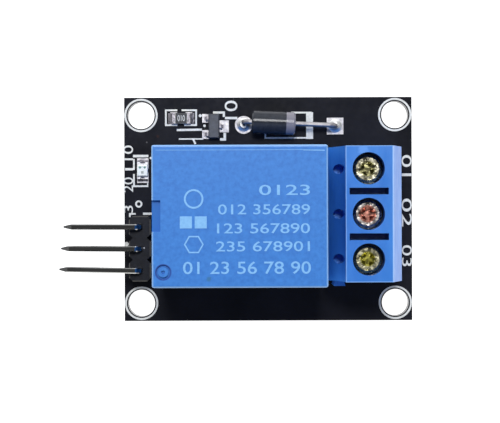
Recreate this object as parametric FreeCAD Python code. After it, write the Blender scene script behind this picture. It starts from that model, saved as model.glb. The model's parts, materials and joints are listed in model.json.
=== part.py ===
import FreeCAD, Part
import math
import os
from FreeCAD import Vector

# Relay module board: a circuit board with a sealed relay, a three-pole screw terminal,
# a bent three-pin header, a lamp, a resistor, a transistor and a diode.
#
# Millimetres. X runs along the board from the header to the screw terminal, Y across it,
# Z up. The origin is on the board's underside, midway between its four mounting holes.

# Working values
past = 1.5                 # how far a cutting shape runs past what it cuts
near = 0.05                # overlap of shapes to be joined, and nearness when edges are picked

# Circuit board
board_length = 34.0
board_width = 26.4
board_thickness = 1.6
mount_inset_x = 2.0        # from the board's edges to the mounting holes
mount_inset_y = 2.1
mount_hole_radius = 1.6
stub_length = 1.8          # how far each soldered lead stands out under the board
lead_hole_gap = 0.2        # room round a lead in its hole
small_round_sides = 12     # flats round lead holes, solder joints and thin round leads

# Bent pin header
header_pitch = 2.54
header_count = 3
header_inset = 2.0         # from the board's edge to the row of pins
header_offset = -3.79      # from the relay's centre line
header_height = 2.54
header_depth = 2.54
header_corner = 0.45       # corner cut off each pole of the insulator
header_pin_size = 0.64
header_pin_rise = 3.2      # axis of the lying pins above the board
header_pin_reach = (8.8, 9.1, 9.3)   # from the upright leg to the tip, not quite even
header_pin_turns = (0.3, 0.5, 1.3)   # degrees, how far each pin has been pushed round
header_pin_bend = 0.35     # inner radius
header_pin_bevel = 0.1     # along the pin's four edges
header_pin_point = 0.95    # how long its tapered end is
header_pin_tip = 0.18      # width left at the tip

# Lamp and resistor, both chip parts of one width
lamp_length = 2.0
resistor_length = 2.15
chip_width = 1.25
lamp_offset = 0.19         # from the header's row
lamp_from_relay = 5.39      # from the relay's centre line
lamp_base_height = 0.35
lamp_lens_height = 0.45
lamp_lens_length = 1.3
lamp_plating = 0.06
lamp_notch_radius = 0.3
lamp_terminal_length = 0.35
lamp_lens_round = 0.12
resistor_inset_x = 6.77    # from the board's left edge
resistor_inset_y = 2.47    # from the board's upper edge
resistor_height = 0.5
resistor_cap_length = 0.36
resistor_cap_wall = 0.04
resistor_glaze = 0.05
chip_solder_reach = 0.45
chip_solder_height = 0.35
chip_solder_sag = 0.35     # how hollow the fillet's face is, as a share of its size

# Transistor
transistor_inset_x = 10.63
transistor_inset_y = 3.42
transistor_length = 2.92
transistor_width = 1.3
transistor_height = 0.95
transistor_lift = 0.08     # air under the body
transistor_draft = 0.12    # the moulding leans in this much above its parting line
transistor_span = 2.4      # over the feet
transistor_pitch = 1.9
transistor_lead_width = 0.42
transistor_lead_thickness = 0.12
transistor_knee = 0.28     # from the body to the down bend
transistor_bend = 0.04

# Diode
diode_inset_x = 17.65
diode_inset_y = 3.11
diode_length = 5.1
diode_radius = 1.33
diode_lead_radius = 0.29
diode_turn = -2.5          # degrees, seen from above
diode_lift = 0.1
diode_left_reach = 0.96    # from the body's end to the upright leg
diode_right_reach = 4.75
diode_bend = 0.75
diode_end_bevel = 0.2

# Solder
solder_height = 1.15
solder_foot = 0.95
solder_neck = 0.14
solder_gap = 0.01
solder_flank = 0.3         # least width of solder round a wide lead
solder_crown_height = 0.45
solder_crown_foot = 0.92

# Relay, outside
header_to_relay = 0.99     # gap between the header and the cover
relay_inset = 6.31         # from the board's upper edge to the cover
cover_standoff = 0.3
cover_wall = 0.8
cover_top = 1.0
cover_round = 0.25
notch_depth = 0.5
notch_length = 0.95
notch_width = 3.4
notch_offset = 0.05        # from the cover's centre line
vent_end_inset = 1.23
vent_side_inset = 1.70
vent_groove_radius = 0.81
vent_disc_radius = 0.55
vent_pit_radius = 0.2
vent_depth = 0.25

# Relay, inside: the winding and the contacts set how large the cover is
winding_radius = 5.075
winding_length = 6.07
pin_margin = 2.4           # from the cover's ends to the outermost pins
pin_side_margin = 1.7      # from the cover's sides to the pins beside them
coil_pin_step = 2.0        # from the common pin's line to the coil pins
base_lift = 0.5
base_thickness = 1.0
base_gap = 0.05
base_foot = 1.4
slot_gap = 0.05
strip_thickness = 0.5
strip_pin_width = 1.0
strip_width = 3.0
arm_thickness = 0.4
strip_bend = 0.36
arm_past_centre = 1.6
coil_pin_size = 0.6
coil_pin_rise = 5.4
ear_wall = 0.5             # plastic round each coil pin
yoke_thickness = 1.2
yoke_width = 7.0
yoke_bend = 0.15
flange_thickness = 0.8
flange_edge = 0.1          # how far the flanges stand out past the winding, along the relay
flange_side_edge = 0.575   # and across it
flange_air = 0.05
core_radius = 1.8
barrel_wall = 0.65
core_gap = 0.04
pole_overhang = 1.5        # how far the pole face stands out past the core
pole_thickness = 0.8
armature_thickness = 1.0
armature_width = 8.0
armature_neck = 6.2
armature_shoulder = 0.8    # from the yoke to the armature's full width
armature_corner = 0.8
armature_past_pole = 0.2
armature_air = 0.03        # left between armature and pole when it is pulled in
blade_thickness = 0.2
blade_width = 4.0
blade_gap = 0.1
blade_tail = 4.6
blade_past_contact = 1.5
blade_bend = 0.35
contact_head_radius = 1.2
contact_shank_radius = 0.6
contact_lower_head = 0.5
contact_upper_head = 0.4
contact_travel = 0.5
contact_air = 0.1          # left between the contacts that meet
fixed_contact_height = 0.4
fixed_contact_radius = 1.4
cover_headroom = 0.3       # air over the highest piece inside

# Screw terminal
relay_to_terminal = 0.37   # gap between the cover and the screw terminal
terminal_offset = 0.20     # from the relay's centre line
pole_pitch = 5.08
pole_count = 3
housing_rear = 4.45        # from the line of the screws
housing_front = 4.0
housing_height = 10.0
housing_rear_step = 4.6    # height at which the rear begins to lean
housing_rear_lean = 1.9
housing_front_step = 6.6
housing_front_lean = 1.28
housing_rear_hollow = 0.25
housing_rear_sag = 0.09
bay_wall = 0.78            # between two poles
bay_front_wall = 1.75
bay_rear_wall = 1.85
access_radius = 1.8
slot_width = 0.75
slot_depth = 2.2
slot_rear = 2.14
slot_front = 2.23
probe_radius = 0.55
probe_x = -3.18            # from the line of the screws
probe_floor = 5.2
ridge_rear = 3.61
ridge_front = 2.31
ridge_out = 0.65
ridge_height = 5.0
ridge_lean = 0.2
ridge_fit = 0.08
entry_width = 3.5
entry_floor = 0.8
entry_top = 3.9
entry_round = 0.5
entry_flare = 0.35
entry_flare_depth = 0.5

# Clamp inside each pole
cage_fit = 0.15            # running room in the bay
cage_floor_air = 0.3
cage_plate = 0.6
cage_side = 0.5
cage_corner = 0.25
cage_top_plate = 1.0
wire_room = 2.5
bar_thickness = 0.8
bar_width = 2.6
bar_air = 0.1
bar_end_air = 0.4
bar_pin_width = 1.0
bar_bend = 0.3
screw_radius = 1.25
screw_hole_radius = 1.3
screw_tip_air = 0.05
screw_tip_cone = 0.3
screw_head_radius = 1.6
screw_head_height = 1.0
screw_head_bevel = 0.3
screw_head_air = 0.05
screw_recess_depth = 0.75
screw_recess_width = 0.45
screw_recess_middle = 0.78  # radius of the cone in the middle of the cross
screw_slot_reach = 1.3
screw_cross_reach = 1.05
screw_turns = (15.0, 0.0, -8.0)   # degrees, how each screw was left
cage_travel = 2.0
bay_top_air = 0.1


def box(x0, x1, y0, y1, z0, z1):
    """A block between two limits along each axis."""
    return Part.makeBox(x1 - x0, y1 - y0, z1 - z0, Vector(x0, y0, z0))


def rod(x, y, z0, z1, radius):
    """An upright round bar."""
    return Part.makeCylinder(radius, z1 - z0, Vector(x, y, z0))


def flat_sided(x, y, z0, z1, foot, neck):
    """An upright bar or cone with flat sides, which keeps small round forms light."""
    angles = [2 * math.pi * (i + 0.5) / small_round_sides for i in range(small_round_sides)]
    rings = []
    for z, radius in ((z0, foot), (z1, neck)):
        rings.append([Vector(x + radius * math.cos(angle), y + radius * math.sin(angle), z) for angle in angles])
    low, high = rings
    outlines = rings + [[low[i - 1], low[i], high[i], high[i - 1]] for i in range(small_round_sides)]
    faces = [Part.Face(Part.makePolygon(outline + outline[:1])) for outline in outlines]
    solid = Part.Solid(Part.Shell(faces))
    if solid.Volume < 0:
        solid.reverse()
    return solid


def in_xz(y):
    """Places a flat outline upright along X."""
    return lambda u, v: Vector(u, y, v)


def in_yz(x):
    """Places a flat outline upright along Y."""
    return lambda u, v: Vector(x, u, v)


def in_xy(z):
    """Places a flat outline lying down."""
    return lambda u, v: Vector(u, v, z)


def rounded_wire(corners, place):
    """A closed wire through corners (u, v) or (u, v, radius), placed in space."""
    spans = []
    for i, corner in enumerate(corners):
        here = place(corner[0], corner[1])
        radius = corner[2] if len(corner) > 2 else 0.0
        if radius == 0.0:
            spans.append((here, None, here))
            continue
        to_before = (place(*corners[i - 1][:2]) - here).normalize()
        to_after = (place(*corners[(i + 1) % len(corners)][:2]) - here).normalize()
        half_angle = to_before.getAngle(to_after) / 2
        reach = radius / math.tan(half_angle)
        inward = (to_before + to_after).normalize()
        middle = here + inward * (radius / math.sin(half_angle) - radius)
        spans.append((here + to_before * reach, middle, here + to_after * reach))
    edges = []
    for i, (first, middle, last) in enumerate(spans):
        if middle is not None:
            edges.append(Part.Arc(first, middle, last).toShape())
        following = spans[(i + 1) % len(spans)][0]
        if last.distanceToPoint(following) > 1e-6:
            edges.append(Part.LineSegment(last, following).toShape())
    return Part.Wire(edges)


def prism(corners, place, sweep):
    """The solid that an outline sweeps."""
    return Part.Face(rounded_wire(corners, place)).extrude(sweep)


def strip_outline(path, thickness, bend):
    """Outline of sheet or wire bent along a path, with its inner bends rounded."""
    points = [Vector(u, v, 0) for u, v in path]
    ways = [(after - before).normalize() for before, after in zip(points, points[1:])]
    rows = []
    for side in (1, -1):
        row = []
        for i, point in enumerate(points):
            before = ways[max(i - 1, 0)]
            after = ways[min(i, len(ways) - 1)]
            normal = Vector(-after.y, after.x, 0)
            mitre = (normal + Vector(-before.y, before.x, 0)).normalize()
            corner = point + mitre * (side * thickness / 2 / mitre.dot(normal))
            turn = before.cross(after).z * side
            radius = 0.0
            if 0 < i < len(points) - 1:
                radius = bend if turn > 0 else bend + thickness
            row.append((corner.x, corner.y, radius))
        rows.append(row)
    return rows[0] + rows[1][::-1]


def one_of(shapes):
    """The pieces joined into one solid."""
    return shapes[0].multiFuse(shapes[1:]).removeSplitter()


def round_edges(shape, radius, wanted):
    """Fillets the edges that the test picks."""
    return shape.makeFillet(radius, [edge for edge in shape.Edges if wanted(edge)])


def edge_span(edge):
    """How far an edge runs along X, Y and Z."""
    limits = edge.BoundBox
    return limits.XLength, limits.YLength, limits.ZLength


# Places that several pieces share

board_top = board_thickness
stub_z = -stub_length
board_left = -board_length / 2
board_back = board_width / 2

# Inside the relay along X, from the common strip to the strips of the fixed contacts
header_x = board_left + header_inset
relay_left = header_x + header_depth / 2 + header_to_relay
common_x = relay_left + pin_margin
coil_pin_x = common_x + coil_pin_step
leg_outer_x = common_x + strip_thickness / 2
leg_inner_x = leg_outer_x + yoke_thickness
flange_gap = yoke_bend + flange_air
flange_half_x = winding_radius + flange_edge
coil_x = leg_inner_x + flange_gap + flange_half_x
strip_left_x = coil_x + flange_half_x + flange_gap
contact_x = strip_left_x + strip_width / 2
strip_pin_x = contact_x + strip_thickness
relay_right = strip_pin_x + pin_margin

# Across the relay, from the winding out to the pins and the cover
flange_half_y = winding_radius + flange_side_edge
pin_side = flange_half_y + flange_air + coil_pin_size / 2
cover_width = 2 * (pin_side + pin_side_margin)
relay_y = board_back - relay_inset - cover_width / 2
barrel_radius = core_radius + core_gap + barrel_wall
pole_radius = core_radius + pole_overhang

# Up through the relay, from the base to the top of the cover
cover_rim_z = board_top + cover_standoff
base_z = board_top + base_lift
base_top_z = base_z + base_thickness
flange_z = base_top_z + yoke_thickness
upper_flange_z = flange_z + flange_thickness + winding_length
pole_z = upper_flange_z + flange_thickness + pole_thickness
hinge_z = pole_z + armature_air
contact_radius = contact_x - leg_outer_x
armature_tilt = math.asin(contact_travel / contact_radius)
lower_contact_z = hinge_z + armature_thickness - contact_lower_head - contact_air
upper_contact_z = (hinge_z + armature_thickness + contact_travel + blade_thickness
                   + contact_upper_head + contact_air)
upper_strip_top_z = upper_contact_z + fixed_contact_height + arm_thickness
cover_top_z = upper_strip_top_z + cover_headroom + cover_top
vent_x = relay_left + vent_end_inset
vent_y = relay_y - cover_width / 2 + vent_side_inset

# Places of the other pieces on the board
header_y = relay_y + header_offset
header_ys = [header_y + (1 - i) * header_pitch for i in range(header_count)]
lamp_x = header_x + lamp_offset
lamp_y = relay_y + lamp_from_relay
resistor_x = board_left + resistor_inset_x
resistor_y = board_back - resistor_inset_y
transistor_x = board_left + transistor_inset_x
transistor_y = board_back - transistor_inset_y
diode_x = board_left + diode_inset_x
diode_y = board_back - diode_inset_y
terminal_x = relay_right + relay_to_terminal + housing_rear
terminal_y = relay_y + terminal_offset
pole_ys = [terminal_y + (1 - i) * pole_pitch for i in range(pole_count)]

# Heights inside the screw terminal, counted up from the board
cage_z = board_top + cage_floor_air
wire_z = cage_z + cage_plate
bar_z = wire_z + wire_room
cage_top_z = bar_z + bar_thickness + bar_air
cage_height = cage_top_z + cage_top_plate - cage_z
bay_width = pole_pitch - bay_wall
bay_rear_x = terminal_x - housing_rear + bay_rear_wall
bay_front_x = terminal_x + housing_front - bay_front_wall
cage_rear_x = bay_rear_x + bar_thickness + 2 * cage_fit
cage_front_x = bay_front_x - cage_fit
bar_pin_x = bay_rear_x + cage_fit + bar_thickness / 2
bay_top_z = cage_z + cage_height + cage_travel + bay_top_air
screw_head_z = bay_top_z + screw_head_air
housing_top_z = board_top + housing_height


def make_board():
    """The drilled board: four mounting holes and one hole for each lead."""
    half_length = board_length / 2
    half_width = board_width / 2
    board = box(-half_length, half_length, -half_width, half_width, 0, board_thickness)
    holes = []
    for side_x in (-1, 1):
        for side_y in (-1, 1):
            x = side_x * (half_length - mount_inset_x)
            y = side_y * (half_width - mount_inset_y)
            board = board.cut(rod(x, y, -past, board_thickness + past, mount_hole_radius))
    diagonal = math.sqrt(2) / 2
    for y in header_ys:
        holes.append((header_x, y, header_pin_size * diagonal + lead_hole_gap / 2))
    holes += [(x, y, half + lead_hole_gap) for x, y, half in relay_leads()]
    for y in pole_ys:
        holes.append((bar_pin_x, y, bar_pin_width / 2 + lead_hole_gap))
    for x, y in diode_feet():
        holes.append((x, y, diode_lead_radius + lead_hole_gap / 2))
    for x, y, radius in holes:
        board = board.cut(flat_sided(x, y, -past, board_thickness + past, radius, radius))
    return board


def relay_leads():
    """Each relay lead's place and the half width of its section."""
    flat = strip_pin_width / 2
    leads = [(common_x, relay_y, flat)]
    for side in (-1, 1):
        leads.append((coil_pin_x, relay_y + side * pin_side, coil_pin_size * math.sqrt(2) / 2))
        leads.append((strip_pin_x, relay_y + side * pin_side, flat))
    return leads


def diode_feet():
    """Where the diode's two legs go through the board."""
    turn = math.radians(diode_turn)
    feet = []
    for reach in (-diode_length / 2 - diode_left_reach, diode_length / 2 + diode_right_reach):
        feet.append((diode_x + reach * math.cos(turn), diode_y + reach * math.sin(turn)))
    return feet


def make_header_housing():
    """Three poles of insulator in a row, each with its corners cut off."""
    half = header_depth / 2
    cut = header_corner
    step = header_pitch / 2
    right = []
    for y in reversed(header_ys):
        right.append((header_x + half - cut, y - step))
        right.append((header_x + half, y - step + cut))
        right.append((header_x + half, y + step - cut))
    right.append((header_x + half - cut, header_ys[0] + step))
    left = [(2 * header_x - x, y) for x, y in reversed(right)]
    body = prism(right + left, in_xy(board_top), Vector(0, 0, header_height))
    pin = header_pin_size / 2
    for y, turn in zip(header_ys, header_pin_turns):
        hole = box(header_x - pin, header_x + pin, y - pin, y + pin, 0, board_top + header_height + past)
        hole.rotate(Vector(header_x, y, 0), Vector(0, 0, 1), -turn)
        body = body.cut(hole)
    return body


def make_header_pin(y, reach, turn):
    """A square pin: up through the board, over in a bend, and out to a pointed tip."""
    half = header_pin_size / 2
    axis_z = board_top + header_pin_rise
    tip_x = header_x - reach
    bend = header_pin_bend + half
    slant = bend * (1 - math.sqrt(2) / 2)
    foot = Vector(header_x, y, stub_z)
    bend_start = Vector(header_x, y, axis_z - bend)
    bend_middle = Vector(header_x - slant, y, axis_z - slant)
    bend_end = Vector(header_x - bend, y, axis_z)
    path = Part.Wire([Part.LineSegment(foot, bend_start).toShape(),
                      Part.Arc(bend_start, bend_middle, bend_end).toShape(),
                      Part.LineSegment(bend_end, Vector(tip_x, y, axis_z)).toShape()])
    flat = half - header_pin_bevel
    corners = [(header_x + u, y + v) for u, v in (
        (-flat, -half), (flat, -half), (half, -flat), (half, flat),
        (flat, half), (-flat, half), (-half, flat), (-half, -flat))]
    pin = path.makePipeShell([rounded_wire(corners, in_xy(stub_z))], True, False)
    end = header_pin_tip / 2
    slope = [(tip_x, end), (tip_x + header_pin_point, half), (tip_x + header_pin_point, 2 * half),
             (tip_x - past, 2 * half), (tip_x - past, end)]
    for side in (-1, 1):
        upright = [(x, axis_z + side * v) for x, v in slope]
        lying = [(x, y + side * v) for x, v in slope]
        pin = pin.cut(prism(upright, in_xz(y - 2 * half), Vector(0, 4 * half, 0)))
        pin = pin.cut(prism(lying, in_xy(axis_z - 2 * half), Vector(0, 0, 4 * half)))
    pin.rotate(foot, Vector(0, 0, 1), -turn)
    return pin


def make_lamp():
    """Chip lamp along Y: substrate with plated, notched ends, and a moulded lens."""
    half = lamp_length / 2
    side = chip_width / 2
    top = board_top + lamp_base_height
    lens_half = lamp_lens_length / 2
    base = box(lamp_x - side, lamp_x + side, lamp_y - half + lamp_plating,
               lamp_y + half - lamp_plating, board_top, top)
    ends = []
    for way in (-1, 1):
        end_y = lamp_y + way * half
        notch = rod(lamp_x, end_y, board_top - past, top + past, lamp_notch_radius)
        base = base.cut(rod(lamp_x, end_y, board_top - past, top + past, lamp_notch_radius + lamp_plating))
        outer = box(lamp_x - side, lamp_x + side, min(end_y, end_y - way * lamp_terminal_length),
                    max(end_y, end_y - way * lamp_terminal_length), board_top, top + lamp_plating)
        ends.append(outer.cut(base).cut(notch))
    lens = box(lamp_x - side, lamp_x + side, lamp_y - lens_half, lamp_y + lens_half,
               top, top + lamp_lens_height)
    lens = round_edges(lens, lamp_lens_round, lambda edge: edge.BoundBox.ZMin > top + near)
    return {"led_base": base, "led_lens": lens, "led_terminal_1": ends[1], "led_terminal_2": ends[0]}


def make_resistor():
    """Chip resistor along X: ceramic bar, dark glaze on top, and a metal cap on each end."""
    half = resistor_length / 2
    side = chip_width / 2
    wall = resistor_cap_wall
    top = board_top + resistor_height
    inner = resistor_x - half + wall, resistor_x + half - wall
    ceramic = box(inner[0], inner[1], resistor_y - side, resistor_y + side, board_top + wall, top - wall)
    glaze = box(inner[0] + resistor_cap_length, inner[1] - resistor_cap_length, resistor_y - side,
                resistor_y + side, top - wall, top - wall + resistor_glaze)
    pieces = {"resistor_body": ceramic, "resistor_glaze": glaze}
    for number, way in ((1, -1), (2, 1)):
        end_x = resistor_x + way * half
        back_x = end_x - way * resistor_cap_length
        cap = box(min(end_x, back_x), max(end_x, back_x), resistor_y - side, resistor_y + side,
                  board_top, top)
        pieces["resistor_cap_%d" % number] = cap.cut(ceramic)
    return pieces


def make_transistor():
    """Moulded body with leaning sides, and three bent legs."""
    length = transistor_length
    width = transistor_width
    middle_z = board_top + transistor_lift + transistor_height / 2
    halves = []
    for way in (-1, 1):
        far_z = middle_z + way * transistor_height / 2
        wires = []
        for z, lean in ((middle_z, 0.0), (far_z, transistor_draft)):
            corners = [(transistor_x - width / 2 + lean, transistor_y - length / 2 + lean),
                       (transistor_x + width / 2 - lean, transistor_y - length / 2 + lean),
                       (transistor_x + width / 2 - lean, transistor_y + length / 2 - lean),
                       (transistor_x - width / 2 + lean, transistor_y + length / 2 - lean)]
            wires.append(rounded_wire(corners, in_xy(z)))
        halves.append(Part.makeLoft(wires, True, True))
    pieces = {"transistor_body": one_of(halves)}
    thick = transistor_lead_thickness
    feet = ((-1, transistor_pitch / 2), (-1, -transistor_pitch / 2), (1, 0.0))
    for number, (way, offset) in enumerate(feet, 1):
        root_x = transistor_x + way * width / 2
        knee_x = root_x + way * transistor_knee
        toe_x = transistor_x + way * transistor_span / 2
        path = [(root_x, middle_z), (knee_x, middle_z), (knee_x, board_top + thick / 2),
                (toe_x, board_top + thick / 2)]
        y = transistor_y + offset - transistor_lead_width / 2
        leg = prism(strip_outline(path, thick, transistor_bend), in_xz(y), Vector(0, transistor_lead_width, 0))
        pieces["transistor_lead_%d" % number] = leg
    return pieces


def turned_with_diode(shape):
    """Turns a piece made along X to the diode's own direction."""
    shape.rotate(Vector(diode_x, diode_y, 0), Vector(0, 0, 1), diode_turn)
    return shape


def make_diode():
    """Round body lying on the board, with a wire leg bent down at each side."""
    axis_z = board_top + diode_lift + diode_radius
    start = Vector(diode_x - diode_length / 2, diode_y, axis_z)
    body = Part.makeCylinder(diode_radius, diode_length, start, Vector(1, 0, 0))
    body = body.makeChamfer(diode_end_bevel, [edge for edge in body.Edges if edge_span(edge)[0] < near])
    pieces = {"diode_body": turned_with_diode(body)}
    sides = (("diode_lead_left", -1, diode_left_reach), ("diode_lead_right", 1, diode_right_reach))
    for name, way, reach in sides:
        root = Vector(diode_x + way * diode_length / 2, diode_y, axis_z)
        leg_x = root.x + way * reach
        bend_start = Vector(leg_x - way * diode_bend, diode_y, axis_z)
        bend_end = Vector(leg_x, diode_y, axis_z - diode_bend)
        slant = diode_bend * (1 - math.sqrt(2) / 2)
        bend_middle = Vector(leg_x - way * slant, diode_y, axis_z - slant)
        path = Part.Wire([Part.LineSegment(root, bend_start).toShape(),
                          Part.Arc(bend_start, bend_middle, bend_end).toShape(),
                          Part.LineSegment(bend_end, Vector(leg_x, diode_y, stub_z)).toShape()])
        angles = [2 * math.pi * (i + 0.5) / small_round_sides for i in range(small_round_sides)]
        section = rounded_wire([(diode_y + diode_lead_radius * math.cos(angle),
                                 axis_z + diode_lead_radius * math.sin(angle)) for angle in angles],
                               in_yz(root.x))
        pieces[name] = turned_with_diode(path.makePipeShell([section], True, False))
    return pieces


def solder_cone(x, y, z, way, height, foot, neck, lead):
    """Solder drawn up round a lead in a cone, with the lead's room left free."""
    return flat_sided(x, y, z, z + way * height, foot, neck).cut(lead)


def square_lead(x, y, half_x, half_y):
    """The room of a flat-sided lead, from under its end to well above the board."""
    return box(x - half_x - solder_gap, x + half_x + solder_gap, y - half_y - solder_gap,
               y + half_y + solder_gap, stub_z - past, board_top + past)


def make_solder():
    """Joints under every lead, a crown on each diode pad, and fillets at the chip parts."""
    groups = {"solder_header": [], "solder_relay": [], "solder_terminals": [],
              "solder_diode": [], "solder_chips": []}

    def joint(group, x, y, half_x, half_y):
        neck = math.hypot(half_x, half_y) + solder_neck
        lead = square_lead(x, y, half_x, half_y)
        foot = max(solder_foot, neck + solder_flank)
        groups[group].append(solder_cone(x, y, 0, -1, solder_height, foot, neck, lead))

    half_pin = header_pin_size / 2
    for y in header_ys:
        joint("solder_header", header_x, y, half_pin, half_pin)
    joint("solder_relay", common_x, relay_y, strip_thickness / 2, strip_pin_width / 2)
    for side in (-1, 1):
        y = relay_y + side * pin_side
        joint("solder_relay", coil_pin_x, y, coil_pin_size / 2, coil_pin_size / 2)
        joint("solder_relay", strip_pin_x, y, strip_pin_width / 2, strip_thickness / 2)
    for y in pole_ys:
        joint("solder_terminals", bar_pin_x, y, bar_thickness / 2, bar_pin_width / 2)
    neck = diode_lead_radius + solder_neck
    for x, y in diode_feet():
        room = (diode_lead_radius + solder_gap) / math.cos(math.pi / small_round_sides)
        lead = flat_sided(x, y, stub_z - past, board_top + past, room, room)
        groups["solder_diode"].append(solder_cone(x, y, 0, -1, solder_height, solder_foot, neck, lead))
        groups["solder_diode"].append(
            solder_cone(x, y, board_top, 1, solder_crown_height, solder_crown_foot, neck, lead))
    for way in (-1, 1):
        groups["solder_chips"].append(chip_fillet(lamp_x, lamp_y, way * lamp_length / 2, False))
        groups["solder_chips"].append(chip_fillet(resistor_x, resistor_y, way * resistor_length / 2, True))
    return {name: Part.makeCompound(shapes) for name, shapes in groups.items()}


def chip_fillet(x, y, end, along_x):
    """A hollow-faced wedge of solder against one end of a chip part, counted from its middle."""
    far = end + math.copysign(chip_solder_reach, end)
    side = chip_width / 2
    low = Vector(far, 0, board_top)
    high = Vector(end, 0, board_top + chip_solder_height)
    sag = Vector(end + (far - end) * chip_solder_sag, 0, board_top + chip_solder_height * chip_solder_sag)
    foot = Vector(end, 0, board_top)
    edges = [Part.Arc(low, sag, high).toShape(), Part.LineSegment(high, foot).toShape(),
             Part.LineSegment(foot, low).toShape()]
    wedge = Part.Face(Part.Wire(edges)).extrude(Vector(0, 2 * side, 0))
    wedge.translate(Vector(0, -side, 0))
    if not along_x:
        wedge.rotate(Vector(0, 0, 0), Vector(0, 0, 1), 90)
    wedge.translate(Vector(x, y, 0))
    return wedge


def make_relay_cover():
    """Moulded cover, open below, with the gate recess and the sealed vent on top."""
    half = cover_width / 2
    outer = box(relay_left, relay_right, relay_y - half, relay_y + half, cover_rim_z, cover_top_z)
    outer = round_edges(outer, cover_round, lambda edge: edge.BoundBox.ZMax > cover_rim_z + near)
    inner = box(relay_left + cover_wall, relay_right - cover_wall, relay_y - half + cover_wall,
                relay_y + half - cover_wall, cover_rim_z - past, cover_top_z - cover_top)
    cover = outer.cut(inner)
    notch_y = relay_y + notch_offset
    notch = box(relay_left - past, relay_left + notch_length, notch_y - notch_width / 2,
                notch_y + notch_width / 2, cover_top_z - notch_depth, cover_top_z + past)
    groove, disc, pit = [rod(vent_x, vent_y, cover_top_z - vent_depth, cover_top_z + past, radius)
                         for radius in (vent_groove_radius, vent_disc_radius, vent_pit_radius)]
    return cover.cut(notch).cut(groove.cut(disc)).cut(pit)


def make_relay_base():
    """Plate that closes the cover from below, on four feet, with a slot for each lead."""
    inset = cover_wall + base_gap
    left = relay_left + inset
    right = relay_right - inset
    front = relay_y - cover_width / 2 + inset
    back = relay_y + cover_width / 2 - inset
    pieces = [box(left, right, front, back, base_z, base_top_z)]
    for x in (left, right - base_foot):
        for y in (front, back - base_foot):
            pieces.append(box(x, x + base_foot, y, y + base_foot, board_top, base_z))
    base = one_of(pieces)
    gap = slot_gap
    flat = strip_thickness / 2 + gap
    wide = strip_pin_width / 2 + gap
    coil = coil_pin_size / 2 + gap
    slots = [(common_x, relay_y, flat, wide)]
    for side in (-1, 1):
        slots.append((coil_pin_x, relay_y + side * pin_side, coil, coil))
        slots.append((strip_pin_x, relay_y + side * pin_side, wide, flat))
    for x, y, half_x, half_y in slots:
        base = base.cut(box(x - half_x, x + half_x, y - half_y, y + half_y, board_top - past, base_top_z + past))
    return base


def make_magnet():
    """Bobbin, winding, core and yoke."""
    upper_top = upper_flange_z + flange_thickness
    pin_y = pin_side
    ear = coil_pin_size / 2 + ear_wall
    bobbin_pieces = [
        box(coil_x - flange_half_x, coil_x + flange_half_x, relay_y - flange_half_y, relay_y + flange_half_y,
            upper_flange_z, upper_top),
        box(coil_x - flange_half_x, coil_x + flange_half_x, relay_y - flange_half_y, relay_y + flange_half_y,
            flange_z, flange_z + flange_thickness),
        rod(coil_x, relay_y, flange_z, upper_top, barrel_radius)]
    for side in (-1, 1):
        y0, y1 = sorted((relay_y + side * (flange_half_y - ear_wall), relay_y + side * (pin_y + ear)))
        bobbin_pieces.append(box(coil_pin_x - ear, coil_x, y0, y1, flange_z, flange_z + flange_thickness))
    bobbin = one_of(bobbin_pieces)
    bobbin = bobbin.cut(rod(coil_x, relay_y, flange_z - past, upper_top + past, core_radius + core_gap))
    for side in (-1, 1):
        half = coil_pin_size / 2 + slot_gap
        y = relay_y + side * pin_y
        bobbin = bobbin.cut(box(coil_pin_x - half, coil_pin_x + half, y - half, y + half,
                                flange_z - past, flange_z + flange_thickness + past))
    winding = rod(coil_x, relay_y, flange_z + flange_thickness, upper_flange_z, winding_radius)
    winding = winding.cut(rod(coil_x, relay_y, flange_z, pole_z, barrel_radius + core_gap))
    core = one_of([rod(coil_x, relay_y, base_top_z, pole_z - near, core_radius),
                   rod(coil_x, relay_y, upper_top, pole_z, pole_radius)])
    path = [(coil_x + pole_radius, base_top_z + yoke_thickness / 2),
            (leg_outer_x + yoke_thickness / 2, base_top_z + yoke_thickness / 2),
            (leg_outer_x + yoke_thickness / 2, pole_z)]
    yoke = prism(strip_outline(path, yoke_thickness, yoke_bend), in_xz(relay_y - yoke_width / 2),
                 Vector(0, yoke_width, 0))
    yoke = yoke.cut(rod(coil_x, relay_y, base_top_z - past, flange_z + past, core_radius + core_gap))
    return {"relay_bobbin": bobbin, "relay_winding": winding, "relay_core": core, "relay_yoke": yoke}


def on_armature(along, height):
    """A point in the raised armature's own frame, as (x, z)."""
    cosine = math.cos(armature_tilt)
    sine = math.sin(armature_tilt)
    return leg_outer_x + along * cosine - height * sine, hinge_z + along * sine + height * cosine


def raised(shape):
    """Turns a piece made with the armature lying flat up to where it rests."""
    shape.rotate(Vector(leg_outer_x, relay_y, hinge_z), Vector(0, -1, 0), math.degrees(armature_tilt))
    return shape


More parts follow.
